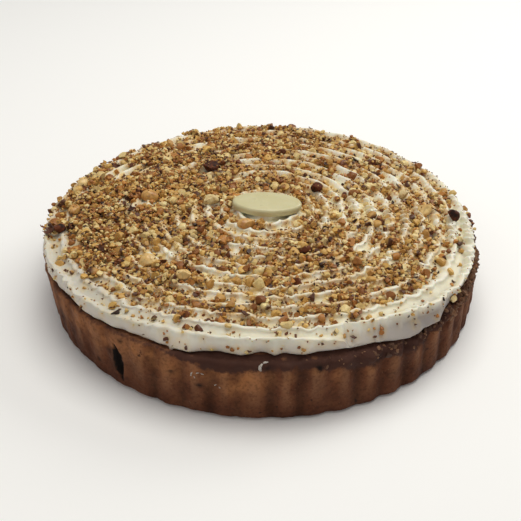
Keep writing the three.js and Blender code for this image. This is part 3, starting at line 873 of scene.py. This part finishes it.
# Height of what the nuts fall on, on a fine net seen from above
def surfaceNet(pieces):
    reach, cell = chopped["reach"], chopped["cell"]
    side = int(2 * reach / cell)
    net = np.full((side, side), -1.0)
    for piece in pieces:
        points = readPoints(piece)
        piece.data.calc_loop_triangles()
        corners = np.empty(len(piece.data.loop_triangles) * 3, np.int32)
        piece.data.loop_triangles.foreach_get("vertices", corners)
        corners = points[corners.reshape(-1, 3)]
        for weight in ((1, 0, 0), (0, 1, 0), (0, 0, 1), (0.34, 0.33, 0.33), (0.5, 0.5, 0), (0, 0.5, 0.5),
                       (0.5, 0, 0.5)):
            at = np.tensordot(corners, np.array(weight), axes=([1], [0]))
            i = np.clip(((at[:, 0] + reach) / cell).astype(int), 0, side - 1)
            j = np.clip(((at[:, 1] + reach) / cell).astype(int), 0, side - 1)
            np.maximum.at(net, (i, j), at[:, 2])
    for _ in range(3):  # cells that no point fell in take their neighbours' height
        padded = np.pad(net, 1, mode="edge")
        across = np.maximum(padded[:-2, 1:-1], padded[2:, 1:-1])
        along = np.maximum(padded[1:-1, :-2], padded[1:-1, 2:])
        net = np.where(net < 0, np.maximum(across, along), net)
    return net


# Kinds of nut. Linear colours: the cut kernel of a large one, its skin or burnt sugar, and the darkest
# and the lightest small bit. Then how rough and glossy a large one is and how knobbly.
kinds = {
    "golden": {"kernel": (0.88, 0.64, 0.28), "coat": (0.76, 0.47, 0.16), "dark": (0.45, 0.225, 0.05),
               "light": (0.78, 0.5, 0.15), "rough": 0.34, "gloss": 0.6, "knobs": 0.5},
    "pale": {"kernel": (0.8, 0.64, 0.32), "coat": (0.62, 0.42, 0.16), "dark": (0.62, 0.42, 0.14),
             "light": (0.9, 0.74, 0.38), "rough": 0.5, "gloss": 0.6, "knobs": 1},
    "caramel": {"kernel": (0.7, 0.4, 0.12), "coat": (0.46, 0.2, 0.045), "dark": (0.17, 0.046, 0.012),
                "light": (0.6, 0.27, 0.06), "rough": 0.34, "gloss": 0.6, "knobs": 0.5},
    "skin": {"kernel": (0.13, 0.034, 0.012), "coat": (0.02, 0.009, 0.007), "dark": (0.018, 0.008, 0.006),
             "light": (0.19, 0.055, 0.019), "rough": 0.5, "gloss": 0.15, "knobs": 1},
}
# kind of each, how many faces it broke at and how much larger it is than its solid
bigNuts = {
    "nut_dark_skin": ("skin", 4, 1.3), "nut_orange_half": ("caramel", 1, 1.2),
    "nut_golden_dome": ("golden", 1, 1.2), "nut_by_plaque": ("caramel", 2, 1.15),
    "nut_pale_long": ("pale", 5, 1.2), "nut_brown_right": ("skin", 5, 1.25),
    "nut_dark_front": ("skin", 5, 1.2), "nut_red_cube": ("skin", 6, 1.25),
    "nut_gold_edge": ("golden", 3, 1.2), "nut_orange_edge": ("caramel", 3, 1.2),
    "nut_dark_edge": ("skin", 6, 1.25), "nut_gold_right": ("golden", 4, 1.2),
    "nut_pale_right": ("pale", 5, 1.2), "nut_gold_front": ("golden", 4, 1.2),
}
bigPlaces = []  # where each lies and how much room it takes


def nutMaterial(name, kind):
    shine = kind["rough"]
    look = Look(name, Roughness=shine, Specular_IOR_Level=kind["gloss"])
    patches = look.span(look.noise(240, 4, 0.6), 0.4, 0.62)
    colour = look.mix(patches, kind["kernel"], kind["coat"])
    streaks = look.span(look.noise(620, 3, 0.6, stretch=(1, 1, 0.35)), 0.35, 0.65, 0.72, 1.12)
    colour = look.mix(1.0, colour, look.ramp(streaks, (0, (0, 0, 0)), (1, (1, 1, 1))), "MULTIPLY")
    rough = look.span(look.noise(500, 3), 0.3, 0.7, shine - 0.1, shine + 0.15)
    normal = look.bump(look.noise(480, 4, 0.6), 0.4, 0.0004)
    return look.connect(colour, rough, normal)


nutFinishes = {name: nutMaterial(name + "Nut", kind) for name, kind in kinds.items()}
creamNet = surfaceNet([creamPiece, ovalPiece])


def anyWay(choose):
    across = choose.normal(size=3)
    return across / np.linalg.norm(across)


def makeBigNut(number, node, kind, breaks, larger):
    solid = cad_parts[node]
    piece = solid.copy()
    piece.data = solid.data.copy()
    piece.parent = None
    bpy.context.scene.collection.objects.link(piece)
    weld(piece)
    applyModifier(piece, "SUBSURF", levels=2, render_levels=2)
    points = readPoints(piece)
    centre = points.mean(axis=0)
    ray = points - centre
    choose = np.random.default_rng(number)
    for _ in range(breaks):  # flat faces where it broke
        across = anyWay(choose)
        over = ray @ across - choose.uniform(0.5, 0.8) * (ray @ across).max()
        ray = ray - np.outer(np.clip(over, 0, None) * 0.92, across)
    knobs = layers(points, [(0.05, 2.6, 40 + number), (0.045, 1.1, 60 + number)])
    dents = -0.12 * unit(bumps(points, 3.4, 80 + number) - 0.2)
    shaped = centre + ray * (larger + kinds[kind]["knobs"] * knobs + dents)[:, None]
    i, j = cellOf(*centre[:2])
    under = creamNet[i - 5:i + 6, j - 5:j + 6]
    tall, wide = np.ptp(shaped[:, 2]), np.ptp(shaped[:, :2], axis=0).sum() / 2
    lift = 0.5 * (under.mean() + under.max()) - 0.2 * tall - shaped[:, 2].min()
    writePoints(piece, shaped + (0, 0, np.clip(lift, -2, 2)))
    bigPlaces.append((*centre[:2], 0.36 * wide + 0.6))
    finishPiece(piece, node.replace("nut_", "hazelnut_"), nutFinishes[kind], [node], 32)
    return piece


bigPieces = [makeBigNut(number, node, *bigNuts[node]) for number, node in enumerate(bigNuts)]


# Points and triangles of a piece, made 1 across. The piece itself isn't kept.
def takeShape(piece):
    points = np.array([corner.co[:] for corner in piece.data.vertices])
    faces = np.array([face.vertices[:] for face in piece.data.polygons])
    bpy.data.objects.remove(piece)
    points -= (points.max(axis=0) + points.min(axis=0)) / 2
    return points / np.ptp(points, axis=0).max(), faces


# One chopped bit of nut: a ball with flat cuts
def chopBit(seed, roundness, cuts):
    choose = np.random.default_rng(seed)
    selectOnly()
    bpy.ops.mesh.primitive_ico_sphere_add(subdivisions=roundness, radius=0.5)
    piece = bpy.context.object
    piece.scale = (1, choose.uniform(0.6, 0.95), choose.uniform(0.45, 0.8))
    bpy.ops.object.transform_apply(location=False, rotation=False, scale=True)
    bpy.ops.object.mode_set(mode="EDIT")
    for _ in range(cuts):
        across = anyWay(choose)
        markAll()
        bpy.ops.mesh.bisect(plane_co=across * choose.uniform(0.12, 0.3), plane_no=across, use_fill=True,
                            clear_outer=True)
    markAll()
    bpy.ops.mesh.quads_convert_to_tris()
    bpy.ops.mesh.normals_make_consistent(inside=False)
    objectMode()
    return takeShape(piece)


# A curled flake of papery skin
def skinFlake(seed):
    choose = np.random.default_rng(seed)
    selectOnly()
    bpy.ops.mesh.primitive_grid_add(x_subdivisions=3, y_subdivisions=2, size=1)
    piece = bpy.context.object
    points = readPoints(piece)
    x, y = points[:, 0] * mm, points[:, 1] * mm
    points[:, 1] *= 0.6 + 0.2 * np.cos(3 * x + seed)
    points[:, 0] += 120 * np.sin(4 * y + seed)
    points[:, 2] = (0.55 * x ** 2 + 0.35 * y ** 2 + 0.25 * x * y) / mm + 60 * choose.normal(size=len(x))
    writePoints(piece, points)
    applyModifier(piece, "SOLIDIFY", thickness=0.12)
    editAll(piece)
    bpy.ops.mesh.quads_convert_to_tris()
    objectMode()
    return takeShape(piece)


# Each bit lies any way round, tilted up to about so many degrees
def randomTurns(choose, count, tilt):
    first, last = choose.uniform(0, 2 * pi, (2, count))
    lean = choose.normal(scale=radians(tilt), size=count)
    zero, one = np.zeros(count), np.ones(count)

    def matrix(*rows):
        return np.stack([np.stack(row, axis=1) for row in rows], axis=1)

    def upright(turn):
        c, s = np.cos(turn), np.sin(turn)
        return matrix([c, -s, zero], [s, c, zero], [zero, zero, one])

    c, s = np.cos(lean), np.sin(lean)
    return upright(first) @ matrix([one, zero, zero], [zero, c, -s], [zero, s, c]) @ upright(last)


# 1 along the lips of the cream, 0 in the valleys
def relief(net):
    smooth = net
    for _ in range(3):
        padded = np.pad(smooth, 4, mode="edge")
        total = np.cumsum(np.cumsum(np.pad(padded, ((1, 0), (1, 0))), axis=0), axis=1)
        smooth = (total[9:, 9:] - total[:-9, 9:] - total[9:, :-9] + total[:-9, :-9]) / 81
    return unit((net - smooth) / 0.8)


# How likely each cell of the net is to catch a bit
def chances(net, lipShare, free=1):
    reach, cell = chopped["reach"], chopped["cell"]
    i, j = np.indices(net.shape).reshape(2, -1)
    x, y = (i + 0.5) * cell - reach, (j + 0.5) * cell - reach
    heap = heaps(x, y)
    onLip = np.clip(lipShare * relief(net).ravel() * (1.25 - heap / 1.3), 0, 0.95)
    chance = (0.15 + 0.85 * nutShare(x, y)) * heap * (1 - onLip)
    turn = radians(oval["turn"])
    fromX, fromY = x - oval["centre"][0], y - oval["centre"][1]
    across = fromX * cos(turn) + fromY * sin(turn)
    upward = fromY * cos(turn) - fromX * sin(turn)
    room = np.where(upward < 0, *chopped["roomByOval"])
    clear = (across / (oval["length"] / 2 + room)) ** 2 + (upward / (oval["width"] / 2 + room)) ** 2 > 1
    chance = chance * clear * (net.ravel() > chopped["lowest"] + 0.5) * free
    return x, y, chance / chance.sum()


# Drops every bit in turn, the largest first. Each rolls to the lowest place near it.
# A place is x, y, z, size and kind, where kind -1 is chosen later.
def scatter(net):
    choose = np.random.default_rng(chopped["seed"])
    gridX, gridY, chance = chances(net, chopped["lipShare"], (net < creamNet + 0.3).ravel())
    placed = []
    topMost = cadBox[1][2] / mm + chopped["aboveTop"]
    for direction, distance, size, kind in chopped["noticed"]:
        x, y = distance * cos(radians(direction)), distance * sin(radians(direction))
        i, j = cellOf(x, y)
        placed.append((x, y, creamNet[i - 2:i + 3, j - 2:j + 3].max() + 0.15 * size, size, kind))
        bigPlaces.append((x, y, 0.3 * size))
    for sort in chopped["sorts"]:
        cells = choose.choice(len(chance), size=sort["count"], p=chance)
        smallest, largest = sort["size"]
        for x, y in zip(gridX[cells], gridY[cells]):
            size = smallest + (largest - smallest) * choose.random() ** 1.3
            spots = choose.normal(scale=sort["roll"], size=(4, 2)) + (x, y)
            spots[0] = (x, y)
            half = max(1, int(round(size * 0.3 / chopped["cell"])))
            found = []
            for spot in spots:
                i, j = cellOf(*spot)
                patch = net[i - half:i + half + 1, j - half:j + half + 1]
                found.append((0.45 * patch.max() + 0.55 * patch.mean(), *spot, i, j))
            low, x, y, i, j = min(found, key=lambda spot: spot[0])
            if low < chopped["lowest"] or low + 0.8 * size > topMost or chance[i * len(net) + j] == 0:
                continue
            if min(hypot(x - nutX, y - nutY) - room for nutX, nutY, room in bigPlaces) < 0.3 * size:
                continue
            onRight = 1 - towards(atan2(y, x), 165, 80)
            if choose.random() < onRight * sort["missing"]:
                continue
            z = low + size * choose.uniform(-0.04, 0.16)
            placed.append((x, y, z, size, -1))
            # what falls later lies on this bit
            wide = max(1, int(round(size * 0.5 / chopped["cell"])))
            patch = net[i - wide:i + wide + 1, j - wide:j + wide + 1]
            u = (np.arange(-wide, wide + 1) * chopped["cell"])[:, None]
            out = (u ** 2 + u.T ** 2) / (0.5 * size) ** 2
            lump = z + 0.28 * size * np.sqrt(unit(1 - out))
            lump = np.where(u ** 2 + u.T ** 2 < (0.5 * size) ** 2, lump, -1)
            np.maximum(patch, lump, out=patch)
    # bits at the very edge, and some that stick to the outer face of the cream
    for direction, distance, height, size, kind in chopped["strays"]:
        place = outwardAt(radians(direction)) * distance + Vector((0, 0, height))
        _, surface, outward, _ = creamPiece.closest_point_on_mesh(place * mm)
        placed.append((*(surface / mm + outward * 0.3 * size), size, kind))
    bits = chopped["outerBits"]
    levels = choose.uniform(*bits["levels"], bits["count"])
    for level, angle in zip(levels, choose.uniform(-pi, pi, bits["count"])):
        outward = outwardAt(angle)
        hit = creamPiece.ray_cast(outward * 0.2 + Vector((0, 0, level * mm)), -outward)
        size = bits["least"] + bits["more"] * choose.random() ** 1.8
        if hit[0] and hit[1].to_2d().length > bits["innermost"]:
            placed.append((*(hit[1] / mm + outward * 0.1 * size), size, -1))
    return np.array(placed)


# Joins one bit for every place into a single mesh, with a colour for each bit
def joinBits(name, shapes, places, turns, variant, kind, choose, coat=None):
    allPoints, allFaces, allColours, start = [], [], [], 0
    patch = unit(0.5 + 1.3 * bumps(places[:, :3] * (1, 1, 0), 8, 55))
    tone = 0.7 * choose.random(len(places)) ** 1.2 + 0.3 * patch
    for number, (points, faces) in enumerate(shapes):
        mine = np.nonzero(variant == number)[0]
        if not len(mine):
            continue
        turned = np.einsum("nij,pj->npi", turns[mine], points)
        turned *= places[mine, 3][:, None, None]
        turned += places[mine, None, :3]
        allPoints.append(turned.reshape(-1, 3))
        offsets = start + np.arange(len(mine)) * len(points)
        allFaces.append((faces[None] + offsets[:, None, None]).reshape(-1, 3))
        mix = tone[mine][:, None, None]
        colour = np.asarray(kind["dark"]) * (1 - mix) + np.asarray(kind["light"]) * mix
        colour = np.repeat(colour, len(points), axis=1)
        if coat is not None:  # the rounded outer side of some bits keeps its skin
            away = points @ choose.normal(size=3)
            outside = away > np.quantile(away, 0.62)
            kept = choose.random(len(mine)) < 0.22
            colour = np.where(outside[None, :, None] * kept[:, None, None], np.asarray(coat), colour)
        allColours.append(colour.reshape(-1, 3))
        start += len(mine) * len(points)
    points, faces, colours = np.concatenate(allPoints), np.concatenate(allFaces), np.concatenate(allColours)
    mesh = bpy.data.meshes.new(name)
    mesh.from_pydata(points * mm, [], faces, shade_flat=False)
    layer = mesh.color_attributes.new("tint", "FLOAT_COLOR", "POINT")
    layer.data.foreach_set("color", np.c_[colours, np.ones(len(colours))].astype(np.float32).ravel())
    piece = bpy.data.objects.new(name, mesh)
    bpy.context.scene.collection.objects.link(piece)
    return piece


def choppedMaterial(name, shine, soft=0.0):  # soft: how far light goes into it
    look = Look(name, Roughness=shine, Specular_IOR_Level=0.35, Subsurface_Weight=soft,
                           Subsurface_Radius=(1.0, 0.6, 0.25), Subsurface_Scale=0.0012)
    colour = look.painted("tint", "Color")
    mottle = look.ramp(look.noise(700, 3, 0.6), (0.32, (0.66, 0.6, 0.52)), (0.6, (1, 1, 1)))
    colour = look.mix(0.75, colour, mottle, "MULTIPLY")
    rough = look.span(look.noise(800, 2), 0.3, 0.7, shine - 0.12, shine + 0.15)
    normal = look.bump(look.noise(1300, 3, 0.6), 0.5, 0.0002)
    return look.connect(colour, rough, normal)


def makeChoppedNuts():
    places = scatter(net)
    print(len(places), "chopped bits placed")
    choose = np.random.default_rng(chopped["seed"] + 1)
    bits = [chopBit(seed, 2, 6) for seed in range(8)]
    crumbs = [chopBit(seed, 1, 4) for seed in range(20, 28)]
    flakes = [skinFlake(seed) for seed in range(4)]
    size, given = places[:, 3], places[:, 4]
    kindOf = np.zeros(len(places), int)
    below = np.inf
    for sort in chopped["sorts"]:
        least = sort["size"][0] if sort is not chopped["sorts"][-1] else 0
        ours = np.nonzero((size >= least) & (size < below))[0]
        kindOf[ours] = choose.choice(len(kinds), size=len(ours), p=sort["kinds"])
        below = least
    kindOf = np.where(given >= 0, given, kindOf)
    for number, (name, kind) in enumerate(kinds.items()):
        mine = places[kindOf == number]
        isSkin = name == "skin"
        shapes = bits + (flakes + crumbs[:2] if isSkin else crumbs)
        variant = np.where((mine[:, 3] > 2.6) & (not isSkin), choose.integers(0, len(bits), len(mine)),
                           choose.integers(len(bits), len(shapes), len(mine)))
        turns = randomTurns(choose, len(mine), 32)
        peel = chopped["peel"] if name in ("golden", "pale") else None
        piece = joinBits("chopped_" + name, shapes, mine, turns, variant, kind, choose, peel)
        look = choppedMaterial("chopped" + name.title(), 0.42, 0 if isSkin else 0.15)
        finishPiece(piece, "chopped_" + name, look, (), 35)
    return places


# Nut fat and burnt sugar stain the cream around the bits
def stainCream(places):
    choose = np.random.default_rng(chopped["seed"] + 3)
    bare = 1 - nutShare(places[:, 0], places[:, 1])
    onRight = towards(np.arctan2(places[:, 1], places[:, 0]), 5, 45)
    strength = choose.random(len(places)) ** 0.45 * (1 - bare * (0.6 + 0.3 * onRight))
    tree = KDTree(len(places))
    for number, place in enumerate(places):
        tree.insert(place[:3], number)
    tree.balance()
    stain = []
    for point in readPoints(creamPiece):
        _, nearest, distance = tree.find(point)
        stain.append(strength[nearest] * (0.6 * places[nearest, 3] + 2.7 - distance) / 1.9)
    paint(creamPiece, "stain", unit(stain))


net = surfaceNet([creamPiece, ovalPiece, *bigPieces])  # it rises as bits fall on it
stainCream(makeChoppedNuts())
print("cream stained")


# Fine crumbs lie on everything, on the lips of the cream too
def makeCrumbs():
    choose = np.random.default_rng(chopped["seed"] + 2)
    dust = chopped["dust"]
    gridX, gridY, chance = chances(net, 0, np.where(net > creamNet + 0.5, 0.35, 1).ravel())
    cells = choose.choice(len(chance), size=dust["count"], p=chance)
    size = choose.uniform(*dust["size"], size=len(cells))
    rows = np.stack([gridX[cells], gridY[cells], net.ravel()[cells] + 0.12 * size, size], axis=1)
    shapes = [chopBit(seed, 1, 4) for seed in range(40, 44)]
    turns = randomTurns(choose, len(rows), 60)
    variant = choose.integers(0, len(shapes), len(rows))
    piece = joinBits("crumbs", shapes, rows, turns, variant, dust, choose)
    finishPiece(piece, "nut_crumbs", choppedMaterial("nutCrumbs", 0.6), (), 25)


makeCrumbs()


pastryBits = {
    "count": 900, "direction": -26, "spread": 18, "least": 1.2, "more": 2.6, "lowest": 0.024,
    "rim": (0.113, 0.1215), "wall": (0.026, 0.034),  # how far out on the rim, how high on the wall
    "dark": (0.045, 0.019, 0.011), "light": (0.27, 0.135, 0.07),
}


# The broken rim at the right front is all coarse crumbs
def makePastryCrumbs():
    choose = np.random.default_rng(chopped["seed"] + 4)
    rows = []
    for _ in range(pastryBits["count"]):
        outward = outwardAt(radians(choose.normal(pastryBits["direction"], pastryBits["spread"])))
        if choose.random() < 0.5:
            start = outward * choose.uniform(*pastryBits["rim"]) + Vector((0, 0, 0.06))
            ray = Vector((0, 0, -1))
        else:
            start = outward * 0.2 + Vector((0, 0, choose.uniform(*pastryBits["wall"])))
            ray = -outward
        hit, cover = casePiece.ray_cast(start, ray), creamPiece.ray_cast(start, ray)
        covered = cover[0] and (cover[1] - start).length < (hit[1] - start).length + 0.0005
        if hit[0] and hit[1].z > pastryBits["lowest"] and not covered:
            size = pastryBits["least"] + pastryBits["more"] * choose.random() ** 1.5
            rows.append((*(hit[1] / mm - hit[2] * 0.16 * size), size))
    rows = np.array(rows)
    shapes = [chopBit(seed, 1, 3) for seed in range(50, 55)]
    turns = randomTurns(choose, len(rows), 90)
    variant = choose.integers(0, len(shapes), len(rows))
    piece = joinBits("pastryCrumbs", shapes, rows, turns, variant, pastryBits, choose)
    finishPiece(piece, "pastry_crumbs", choppedMaterial("pastryCrumbs", 0.8), (), 25)


makePastryCrumbs()
